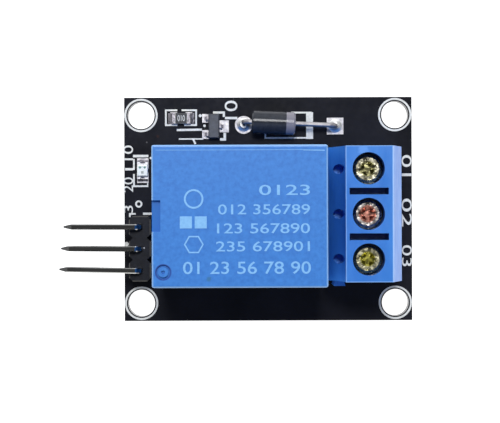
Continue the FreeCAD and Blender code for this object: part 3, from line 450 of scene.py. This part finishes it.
# The finish of each slot
finishes = {
    "board": mask,
    "header_plastic": header_moulding,
    "tinned_pin": wire_tin,
    "solder": solder,
    # White laminate and water-clear resin, both very light from above
    "lamp_base": surface("white_laminate", ("#e4eaea", "#f8fbfa"), plastic,
                         blotch=0.2, grain=0.2, relief=0.001, gloss=(0.4, 0.6)),
    "lamp_lens": surface("clear_epoxy", ("#ecf4f3", "#fbfefd"), resin,
                         blotch=0.5, grain=0.3, relief=0.001, gloss=(0.25, 0.35)),
    "chip_ceramic": surface("white_alumina", ("#cfcdc6", "#e6e4dd"), {"IOR": 1.7},
                            blotch=0.15, grain=0.15, relief=0.002, gloss=(0.5, 0.65)),
    "chip_glaze": surface("dark_overglaze", ("#22242a", "#34373e"), plastic,
                          blotch=0.3, grain=0.2, relief=0.001, gloss=(0.25, 0.4)),
    "transistor_plastic": surface("grey_moulding_compound", ("#34373e", "#4a4e57"), plastic,
                                  blotch=0.4, grain=0.12, relief=0.006, gloss=(0.42, 0.55)),
    "diode_plastic": banded_diode(),
    "relay_plastic": relay_moulding,
    "terminal_plastic": block_moulding,
    "bobbin_plastic": surface("cream_polyester", ("#c2b8a2", "#d8cfba"), plastic,
                              blotch=0.6, grain=0.2, relief=0.002, gloss=(0.45, 0.6)),
    "copper": wound_wire(),
    "soft_iron": surface("nickelled_soft_iron", ("#8c8b86", "#b0afa9"), metal,
                         blotch=1.0, grain=0.5, relief=0.002, gloss=(0.28, 0.42)),
    "spring_bronze": surface("phosphor_bronze", ("#a5713f", "#c08c54"), metal,
                             blotch=1.0, grain=0.5, relief=0.002, gloss=(0.25, 0.38)),
    "contact_silver": surface("silver_alloy", ("#c9c9c6", "#e0e0dc"), metal,
                              blotch=0.6, grain=0.4, relief=0.002, gloss=(0.2, 0.32)),
    "screw_zinc": screw_zinc("clamp_screw_1", ("#aba686", "#f4efd6"), "#9d996e", 0.9 * mm),
    "cage_brass": surface("nickelled_brass", ("#9d9a90", "#bfbcb0"), metal,
                          blotch=1.0, grain=0.5, relief=0.002, gloss=(0.25, 0.4)),
}
# Nodes that look unlike the rest of their slot
own_finishes = {
    "clamp_screw_2": screw_zinc("clamp_screw_2", ("#b0a8a0", "#f6f0ea"), "#c88a7a", 1.0 * mm),
    "clamp_screw_3": screw_zinc("clamp_screw_3", ("#b0ab84", "#f3eecb"), "#b8b254", 0.85 * mm),
    "header_pin_1": pin_metal,
    "header_pin_2": pin_metal,
    "header_pin_3": pin_metal,
    "led_terminal_1": rough_tin,
    "led_terminal_2": rough_tin,
    "solder_chips": dull_tin,
    "resistor_cap_1": dull_tin,
    "resistor_cap_2": dull_tin,
    "transistor_lead_1": dull_tin,
    "transistor_lead_2": dull_tin,
    "transistor_lead_3": dull_tin,
}
for row in frame["record"]["subparts"]:
    node = frame["nodes"][row["node"]]
    node.data.materials.clear()
    node.data.materials.append(own_finishes.get(row["node"], finishes[row["material_slot"]]))


# Small builders for the new pieces


def block(bm, low, high, turn=0.0):
    """A block between two corners, turned about its own centre by an angle in degrees."""
    low, high = Vector(low), Vector(high)
    size = high - low
    place = (Matrix.Translation((low + high) / 2) @ Matrix.Rotation(math.radians(turn), 4, "Z")
             @ Matrix.Diagonal((size.x, size.y, size.z, 1)))
    bmesh.ops.create_cube(bm, size=1.0, matrix=place)


def stroke(bm, start, end, width, z0, z1):
    """A straight printed or plated line between two points."""
    middle = (start + end) / 2
    reach = (end - start).length / 2
    turn = math.degrees(math.atan2(end.y - start.y, end.x - start.x))
    block(bm, (middle.x - reach, middle.y - width / 2, z0),
          (middle.x + reach, middle.y + width / 2, z1), turn)


def turned(bm, x, y, profile, steps):
    """Spins a closed profile of (radius, height) points about an upright axis."""
    verts = [bm.verts.new((x + r, y, z)) for r, z in profile]
    edges = [bm.edges.new((a, b)) for a, b in zip(verts, verts[1:] + verts[:1])]
    bmesh.ops.spin(bm, geom=verts + edges, cent=(x, y, 0), axis=(0, 0, 1), angle=2 * math.pi,
                   steps=steps, use_merge=True)


def ring(bm, x, y, inner, outer, z0, z1, steps=40):
    """A flat ring."""
    turned(bm, x, y, [(inner, z0), (outer, z0), (outer, z1), (inner, z1)], steps)


def disc(bm, x, y, radius, z0, z1, steps=24):
    """A flat round plate."""
    bmesh.ops.create_cone(bm, cap_ends=True, segments=steps, radius1=radius, radius2=radius,
                          depth=z1 - z0, matrix=Matrix.Translation((x, y, (z0 + z1) / 2)))


def figures(bm, text, centre, length, height, turn, z0, z1, swell=0.0):
    """Plain figures that fill a field of this length and height, turned by an angle in degrees."""
    curve = bpy.data.curves.new("figures", "FONT")
    curve.body = text
    curve.extrude = 0.5       # to both sides, which makes them one unit thick before they are fitted
    curve.resolution_u = 4
    curve.offset = swell
    holder = bpy.data.objects.new("figures", curve)
    bpy.context.scene.collection.objects.link(holder)
    bpy.context.view_layer.update()
    shown = holder.evaluated_get(bpy.context.evaluated_depsgraph_get())
    flat = bpy.data.meshes.new_from_object(shown)
    xs = [v.co.x for v in flat.vertices]
    ys = [v.co.y for v in flat.vertices]
    back = Matrix.Translation((-(min(xs) + max(xs)) / 2, -(min(ys) + max(ys)) / 2, 0))
    fit = Matrix.Diagonal((length / (max(xs) - min(xs)), height / (max(ys) - min(ys)), z1 - z0, 1))
    turn_about = Matrix.Rotation(math.radians(turn), 4, "Z")
    place = Matrix.Translation((centre.x, centre.y, (z0 + z1) / 2))
    flat.transform(place @ turn_about @ fit @ back)
    bm.from_mesh(flat)
    bpy.data.objects.remove(holder)
    bpy.data.meshes.remove(flat)
    bpy.data.curves.remove(curve)


def to_piece(name, bm, material):
    """Turns a bmesh into a named piece that rides on the board and takes the finish given to it."""
    bmesh.ops.remove_doubles(bm, verts=bm.verts, dist=weld)
    bmesh.ops.recalc_face_normals(bm, faces=bm.faces)
    mesh = bpy.data.meshes.new(name)
    bm.to_mesh(mesh)
    bm.free()
    mesh.materials.append(material)
    mesh.shade_smooth()
    mesh.set_sharp_from_angle(angle=math.radians(sharp_angle))
    made = bpy.data.objects.new(name, mesh)
    bpy.context.scene.collection.objects.link(made)
    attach(made, "board")
    return made


# The printed marks on the board, in millimetres from the middle of the piece that they belong to

hole_ring_inner = 1.75
hole_ring_outer = 1.97
mount_inset = (2.0, 2.1)      # from the board's sides to the axes of its mounting holes

# Strokes as (start, end, width)
print_strokes = {
    "resistor_body": (
        ((-1.83, 0.97), (-0.47, 0.97), 0.2), ((-1.83, -0.79), (-0.47, -0.79), 0.2),
        ((-1.83, 1.07), (-1.83, -0.89), 0.2), ((0.03, 0.97), (1.85, 0.97), 0.2),
        ((0.33, -0.79), (1.85, -0.79), 0.2), ((1.75, 1.07), (1.75, -0.89), 0.2),
        ((-0.55, -1.37), (2.44, -1.33), 0.26), ((-0.31, -2.43), (2.59, -2.43), 0.16),
        ((1.37, -2.43), (1.66, -3.03), 0.22)),
    "transistor_body": (
        ((-0.11, 1.64), (1.3, 1.64), 0.26), ((1.17, 1.72), (1.17, 1.11), 0.26),
        ((0.7, -1.54), (1.41, -1.54), 0.3), ((1.27, -0.78), (1.27, -1.67), 0.3)),
    "diode_body": (
        ((2.09, 1.29), (4.51, 1.28), 0.2), ((4.28, 1.32), (4.28, -1.83), 0.82),
        ((-1.04, -1.7), (4.68, -1.7), 0.18), ((-0.96, -1.11), (-0.96, -1.79), 0.18)),
    "led_base": (
        ((-1.15, 1.72), (0.66, 1.72), 0.3), ((-1.05, 1.38), (-1.05, 0.08), 0.2),
        ((-1.05, -0.4), (-1.05, -1.94), 0.2), ((-1.15, -1.84), (0.61, -1.84), 0.2),
        ((0.57, -1.22), (0.57, -1.94), 0.14), ((-2.1, 0.17), (-1.15, 0.17), 0.28)),
    "header_housing": (
        ((-1.46, 4.07), (-0.67, 4.07), 0.2), ((-1.36, 4.17), (-1.36, 3.7), 0.2),
        ((0.2, 4.08), (1.22, 4.08), 0.26)),
}

# Dots as (x, y, radius)
print_dots = {
    "resistor_body": ((2.23, 0.32, 0.18), (2.73, -0.88, 0.16)),
    "led_base": ((0.95, 1.49, 0.14),),
    "header_housing": ((-1.76, 0.5, 0.26),),
}
# The small ring beside the header as (x, y, inner, outer)
pin_ring = (-0.3, 5.23, 0.22, 0.43)

# Plain figures as (text, x, y, length, height, turn)
print_figures = {
    "clamp_screw_1": ("01", 5.3, 0.6, 2.5, 1.18, -90),
    "clamp_screw_2": ("02", 5.3, 0.13, 3.3, 1.18, -90),
    "clamp_screw_3": ("03", 5.3, 0.1, 2.5, 1.18, -90),
    "transistor_body": ("01", 2.02, 1.94, 2.2, 1.5, -90),
    "led_base": ("10", -1.72, 2.11, 1.75, 1.15, 90),
    "led_terminal_2": ("20", -1.72, -0.85, 1.75, 1.15, 90),
    "header_housing": ("3", -1.53, 4.62, 0.85, 1.1, 90),
}
# Those on the resistor as (text, length, height)
resistor_figures = ("010", 0.85, 0.7)

# The marks on the relay, in millimetres from the frame's origin
# Rows of plain figures as (text, left, right, foot, height)
cover_rows = (
    ("0123", -1.17, 4.3, 1.45, 1.12),
    ("012 356789", -5.59, 4.3, -0.62, 1.1),
    ("123 567890", -5.7, 4.29, -2.66, 1.1),
    ("235 678901", -5.82, 4.28, -4.6, 1.1),
    ("01 23 56 78 90", -9.37, 4.38, -7.02, 1.35),
)
cover_swell = 0.006           # thickens them a little, in units of the font
# Outlines as (x, y, inner, outer, sides): a ring and one with six sides
cover_outlines = ((-8.2, 1.07, 0.85, 1.05, 40), (-8.2, -3.83, 0.9, 1.07, 6))
# Squares by their corners
cover_squares = (((-9.7, -2.1), (-8.4, -0.8)), ((-8.1, -2.1), (-6.8, -0.8)))
# A faint pale line along the far edge, clearer at its right end
far_edge_line = (((-12.3, 6.33), (3.6, 6.33), 0.05), ((3.6, 6.3), (5.9, 6.26), 0.1))


def print_board():
    """The white marks on the board: rings round the holes, frames, bars, dots and figures."""
    bm = bmesh.new()
    z0 = board_top - sink
    z1 = board_top + ink_thickness
    for side_x in (-1, 1):
        for side_y in (-1, 1):
            x = side_x * (board_high.x - mount_inset[0] * mm)
            y = side_y * (board_high.y - mount_inset[1] * mm)
            ring(bm, x, y, hole_ring_inner * mm, hole_ring_outer * mm, z0, z1, steps=64)
    for node, strokes in print_strokes.items():
        middle = middle_of(node)
        for i, (start, end, width) in enumerate(strokes):
            stroke(bm, middle + Vector(start) * mm, middle + Vector(end) * mm, width * mm,
                   z0, z1 - i * hair)
    for node, dots in print_dots.items():
        middle = middle_of(node)
        for x, y, radius in dots:
            disc(bm, middle.x + x * mm, middle.y + y * mm, radius * mm, z0, z1)
    middle = middle_of("header_housing")
    x, y, inner, outer = pin_ring
    ring(bm, middle.x + x * mm, middle.y + y * mm, inner * mm, outer * mm, z0, z1)
    for node, (text, x, y, length, height, turn) in print_figures.items():
        centre = middle_of(node) + Vector((x, y)) * mm
        figures(bm, text, centre, length * mm, height * mm, turn, z0, z1)
    to_piece("board_print", bm, ink)


def print_resistor():
    """Plain white figures on the resistor's dark glaze."""
    bm = bmesh.new()
    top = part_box("resistor_glaze")[1].z
    text, length, height = resistor_figures
    figures(bm, text, middle_of("resistor_glaze"), length * mm, height * mm, 0,
            top - sink, top + ink_thickness)
    to_piece("resistor_print", bm, ink)


def print_cover():
    """Rows of plain figures, two outlines, two squares and a faint pale line on top of the relay."""
    bm = bmesh.new()
    z0 = cover_top - sink
    z1 = cover_top + ink_thickness
    for text, left, right, foot, height in cover_rows:
        centre = Vector(((left + right) / 2, foot + height / 2)) * mm
        figures(bm, text, centre, (right - left) * mm, height * mm, 0, z0, z1, swell=cover_swell)
    for x, y, inner, outer, sides in cover_outlines:
        ring(bm, x * mm, y * mm, inner * mm, outer * mm, z0, z1, steps=sides)
    for (left, foot), (right, head) in cover_squares:
        block(bm, (left * mm, foot * mm, z0), (right * mm, head * mm, z1))
    for start, end, width in far_edge_line:
        stroke(bm, Vector(start) * mm, Vector(end) * mm, width * mm, z0, z1)
    to_piece("cover_marks", bm, cover_ink)


# Pads, solder and tracks, in millimetres

lead_nodes = (["header_pin_%d" % k for k in (1, 2, 3)] + ["terminal_bar_%d" % k for k in (1, 2, 3)]
              + ["relay_coil_pin_1", "relay_coil_pin_2", "relay_strip_closed", "relay_strip_open",
                 "relay_strip_common", "diode_lead_left", "diode_lead_right"])
# By the first six letters of the lead's name
pad_radius = {"header": 0.95, "termin": 1.25, "relay_": 1.15, "diode_": 1.08}
pad_bore = 0.9                # share of a lead's half diagonal that its pad starts at

# How far a chip part's pad stands out round its lead, along and across the board
chip_pads = {
    "resistor_cap_1": (0.22, 0.1), "resistor_cap_2": (0.22, 0.1),
    "led_terminal_1": (0.05, 0.45), "led_terminal_2": (0.05, 0.45),
    "transistor_lead_1": (0.2, 0.3), "transistor_lead_2": (0.2, 0.3), "transistor_lead_3": (0.55, 0.5),
}
square_pad = 0.98             # half the side of the diode's square pad
crown_pad = 1.05
crown_drop = 0.3              # how far the left joint's pad lies below its lead

solder_steps = 8
solder_hollow = 2.6           # how fast the flank falls away from the lead
solder_core = 0.4             # the flank closes inside the lead, at this share of its neck
solder_cap = 1.04             # and this much higher than it ends
round_neck = 0.1              # from a round lead's side to the neck of its solder
square_neck = 0.06            # and from a square one's corner
joint_height = 1.15
joint_foot = 0.94             # share of its pad that a joint covers
crown_height = 0.45
crown_foot = 0.92

# Tracks under the board as (from, to, width)
tracks = (
    ("relay_strip_common", "terminal_bar_2", 3.0), ("relay_strip_closed", "terminal_bar_1", 2.6),
    ("relay_strip_open", "terminal_bar_3", 2.6), ("relay_coil_pin_1", "diode_lead_left", 1.6),
    ("relay_coil_pin_2", "header_pin_2", 1.6),
)


def make_pads():
    """Tinned rings round the leads under the board, and the pads on its top."""
    bm = bmesh.new()
    for node in lead_nodes:
        centre, half = lead_end(node)
        ring(bm, centre.x, centre.y, half.length * pad_bore, pad_radius[node[:6]] * mm,
             board_under - pad_thickness, board_under + sink)
    z0 = board_top - sink
    z1 = board_top + pad_thickness
    left, half = lead_end("diode_lead_left")
    ring(bm, left.x, left.y - crown_drop * mm, half.x, crown_pad * mm, z0, z1)
    right, _ = lead_end("diode_lead_right")
    side = square_pad * mm
    block(bm, (right.x - side, right.y - side, z0), (right.x + side, right.y + side, z1))
    for node, (along, across) in chip_pads.items():
        low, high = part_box(node)
        block(bm, (low.x - along * mm, low.y - across * mm, z0),
              (high.x + along * mm, high.y + across * mm, z1))
    to_piece("tinned_pads", bm, pad_tin)


def solder_joint(bm, centre, neck, z, way, height, foot):
    """Solder wetted up a lead: a hollow flank from the pad to the lead, closed at the lead's face."""
    profile = [(neck * solder_core, z - way * sink)]
    for i in range(solder_steps + 1):
        share = i / solder_steps
        radius = neck + (foot - neck) * (1 - share) ** solder_hollow
        profile.append((radius, z + way * height * share))
    profile.append((neck * solder_core, z + way * height * solder_cap))
    turned(bm, centre.x, centre.y, profile, steps=32)


def make_solder():
    """All the wetted joints, in place of the plainer solids of the frame."""
    under = bmesh.new()
    for node in lead_nodes:
        centre, half = lead_end(node)
        if node.startswith("diode"):
            neck = half.x + round_neck * mm
        else:
            neck = half.length + square_neck * mm
        foot = pad_radius[node[:6]] * joint_foot * mm
        solder_joint(under, centre, neck, board_under, -1, joint_height * mm, foot)
    crowns = bmesh.new()
    for node, drop in (("diode_lead_left", crown_drop), ("diode_lead_right", 0.0)):
        centre, half = lead_end(node)
        solder_joint(crowns, centre - Vector((0, drop * mm)), half.x + round_neck * mm,
                     board_top, 1, crown_height * mm, crown_foot * mm)
    joints = to_piece("wetted_joints", under, solder)
    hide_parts("solder_header", "solder_relay", "solder_terminals")
    top = to_piece("wetted_crowns", crowns, solder)
    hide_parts("solder_diode")


def make_tracks():
    """Copper tracks under the lacquer on the board's underside, from lead to lead."""
    bm = bmesh.new()
    z0 = board_under - track_thickness
    z1 = board_under + sink
    for first, second, width in tracks:
        start = lead_end(first)[0]
        end = lead_end(second)[0]
        corner = Vector((end.x, start.y))
        stroke(bm, start, corner, width * mm, z0, z1)
        stroke(bm, corner, end, width * mm, z0 + hair, z1)
    to_piece("masked_tracks", bm, mask_copper)


# What shows through the lamp's lens, in millimetres

lamp_depth = 0.02             # how far it reaches into the lens
lamp_rise = 0.01              # and out of it
die_half = 0.15               # half the side of the die
die_drop = 0.23               # from the lens's middle down to the die's
dot_apart = 0.28              # from the lamp's axis to each green mark
dot_inset = 0.3               # from the lens's upper end to the marks
dot_radius = 0.13
line_inset = 0.22             # from the lens's upper end to the thin line over the marks
line_width = 0.04


def make_lamp_inside():
    """The lamp's die, and the two green marks with the thin line that joins them."""
    low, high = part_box("led_lens")
    centre = (low + high) / 2
    z0 = high.z - lamp_depth * mm
    z1 = high.z + lamp_rise * mm
    bm = bmesh.new()
    block(bm, (centre.x - die_half * mm, centre.y - (die_drop + die_half) * mm, z0),
          (centre.x + die_half * mm, centre.y - (die_drop - die_half) * mm, z1))
    to_piece("lamp_die", bm, die_grey)
    bm = bmesh.new()
    for side in (-1, 1):
        disc(bm, centre.x + side * dot_apart * mm, high.y - dot_inset * mm, dot_radius * mm,
             z0, z1, steps=16)
    y = high.y - line_inset * mm
    reach = (high.x - low.x) / 2 - dot_radius * mm
    stroke(bm, Vector((centre.x - reach, y)), Vector((centre.x + reach, y)), line_width * mm,
           z0 + hair, z1 - hair)
    to_piece("lamp_dots", bm, dot_green)


print_board()
print_resistor()
print_cover()
make_pads()
make_solder()
make_tracks()
make_lamp_inside()


# Floor, light and camera, in metres

floor_gap = 0.02 * mm         # left under the longest lead

# Lamps as (name, place, side, power in watts, tint), all turned to one point
lamps = (
    ("high_lamp", (-0.02, 0.21, 0.48), 0.13, 1.75, "#ffffff"),
    ("far_softbox", (0.02, 0.55, 0.32), 0.5, 1.1, "#f6f9ff"),
)
lamps_look_at = Vector((0, 0, 0.006))

# The room's light falls from the first strength, a little over the horizon, to the second overhead
room_strength = (0.95, 0.08)
room_horizon = 0.1

camera_lens = 103.5           # focal length in millimetres, for a sensor 36 mm wide
camera_place = (-2.15 * mm, -0.3 * mm, board_top + 170 * mm)
camera_turn = -0.2            # in degrees


def make_floor():
    """A wide white sheet, lit from behind as well, so that no shadow darkens it."""
    bm = bmesh.new()
    bmesh.ops.create_grid(bm, x_segments=1, y_segments=1, size=1.0,
                          matrix=Matrix.Translation((0, 0, cad_box[0][2] - floor_gap)))
    mesh = bpy.data.meshes.new("floor")
    bm.to_mesh(mesh)
    bm.free()
    glow = {"IOR": 1.4, "Emission Color": colour("#ffffff"), "Emission Strength": 1.0}
    mesh.materials.append(surface("white_sheet", ("#bcbcbc", "#c2c2c2"), glow,
                                  blotch=100, grain=50, relief=0.0, gloss=(0.75, 0.85)))
    floor = bpy.data.objects.new("floor", mesh)
    bpy.context.scene.collection.objects.link(floor)


def make_light():
    """A room that is light at its sides and dark overhead, and the square lamps."""
    world = bpy.data.worlds.new("studio")
    world.use_nodes = True
    tree = world.node_tree
    way = add(tree, "ShaderNodeTexCoord")
    height = add(tree, "ShaderNodeSeparateXYZ", {"Vector": way.outputs["Generated"]})
    strength = add(tree, "ShaderNodeMapRange", {
        "Value": height.outputs["Z"], "From Min": room_horizon, "From Max": 1.0,
        "To Min": room_strength[0], "To Max": room_strength[1]})
    back = tree.nodes["Background"]
    back.inputs["Color"].default_value = colour("#f2f4f8")
    tree.links.new(strength.outputs["Result"], back.inputs["Strength"])
    bpy.context.scene.world = world
    for name, place, side, power, tint in lamps:
        lamp = bpy.data.lights.new(name, "AREA")
        lamp.shape = "SQUARE"
        lamp.size = side
        lamp.energy = power
        lamp.color = colour(tint)[:3]
        holder = bpy.data.objects.new(name, lamp)
        bpy.context.scene.collection.objects.link(holder)
        holder.location = place
        holder.rotation_euler = (lamps_look_at - Vector(place)).to_track_quat("-Z", "Y").to_euler()


def make_camera():
    """Straight above the board, a little left of its middle, as the photo was taken."""
    camera = bpy.data.cameras.new("camera")
    camera.lens = camera_lens
    camera.sensor_width = 36.0
    camera.clip_start = 0.01
    camera.clip_end = 5.0
    holder = bpy.data.objects.new("camera", camera)
    bpy.context.scene.collection.objects.link(holder)
    holder.location = camera_place
    holder.rotation_euler = (0, 0, math.radians(camera_turn))
    bpy.context.scene.camera = holder


make_floor()
make_light()
make_camera()
bpy.context.scene.view_settings.view_transform = "Standard"
